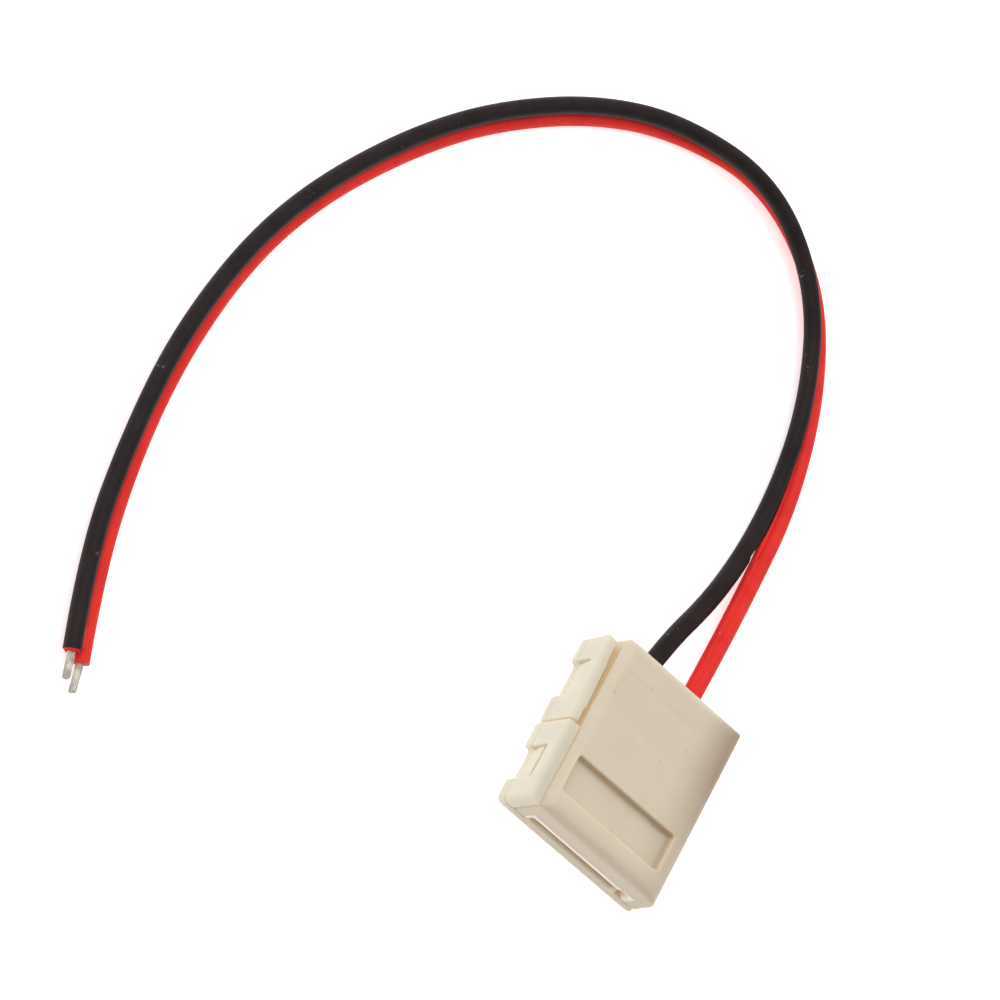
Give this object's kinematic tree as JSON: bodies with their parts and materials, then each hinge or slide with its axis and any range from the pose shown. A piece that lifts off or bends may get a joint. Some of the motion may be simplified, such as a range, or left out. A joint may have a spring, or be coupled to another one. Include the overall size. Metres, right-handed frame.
{
  "type": "led strip connector",
  "caption": "Flat hinged clip connector that grips the bare end of a two-pad LED strip, with a twin insulated lead whose ends are stripped and tinned.",
  "frame": {"origin": "middle of the underside of the housing and covers, on the plane the covers rest on", "axes": "+Z out of the underside through the housing's top face, +Y towards the leads and away from the strip's mouth, +X towards the hinges and away from the latches"},
  "size_m": [0.0651, 0.0823, 0.0052],
  "materials": {
    "housing_plastic": "moulded cream plastic, satin",
    "cover_plastic": "moulded cream plastic, satin",
    "contact_metal": "tin-plated spring sheet",
    "tinned_copper": "solder-dipped strands",
    "black_insulation": "soft extruded insulation",
    "red_insulation": "soft extruded insulation"
  },
  "bodies": {
    "housing": {"housing": "housing_plastic", "black_contact": "contact_metal", "red_contact": "contact_metal", "black_inner_core": "tinned_copper", "red_inner_core": "tinned_copper", "black_lead": "black_insulation", "red_lead": "red_insulation", "black_tinned_end": "tinned_copper", "red_tinned_end": "tinned_copper"},
    "strip_cover": {"strip_cover": "cover_plastic", "strip_latch": "cover_plastic"},
    "wire_cover": {"wire_cover": "cover_plastic", "wire_latch": "cover_plastic"}
  },
  "joints": [
    {"name": "strip_cover_hinge", "type": "hinge", "parent": "housing", "child": "strip_cover", "pos_m": [0.0077, -0.00495, 0.0006], "axis": [0, -1, 0], "range_deg": [0, 110], "deforming": ["strip_latch"]},
    {"name": "wire_cover_hinge", "type": "hinge", "parent": "housing", "child": "wire_cover", "pos_m": [0.0077, 0.0041, 0.0006], "axis": [0, -1, 0], "range_deg": [0, 110], "deforming": ["wire_latch"]}
  ]
}
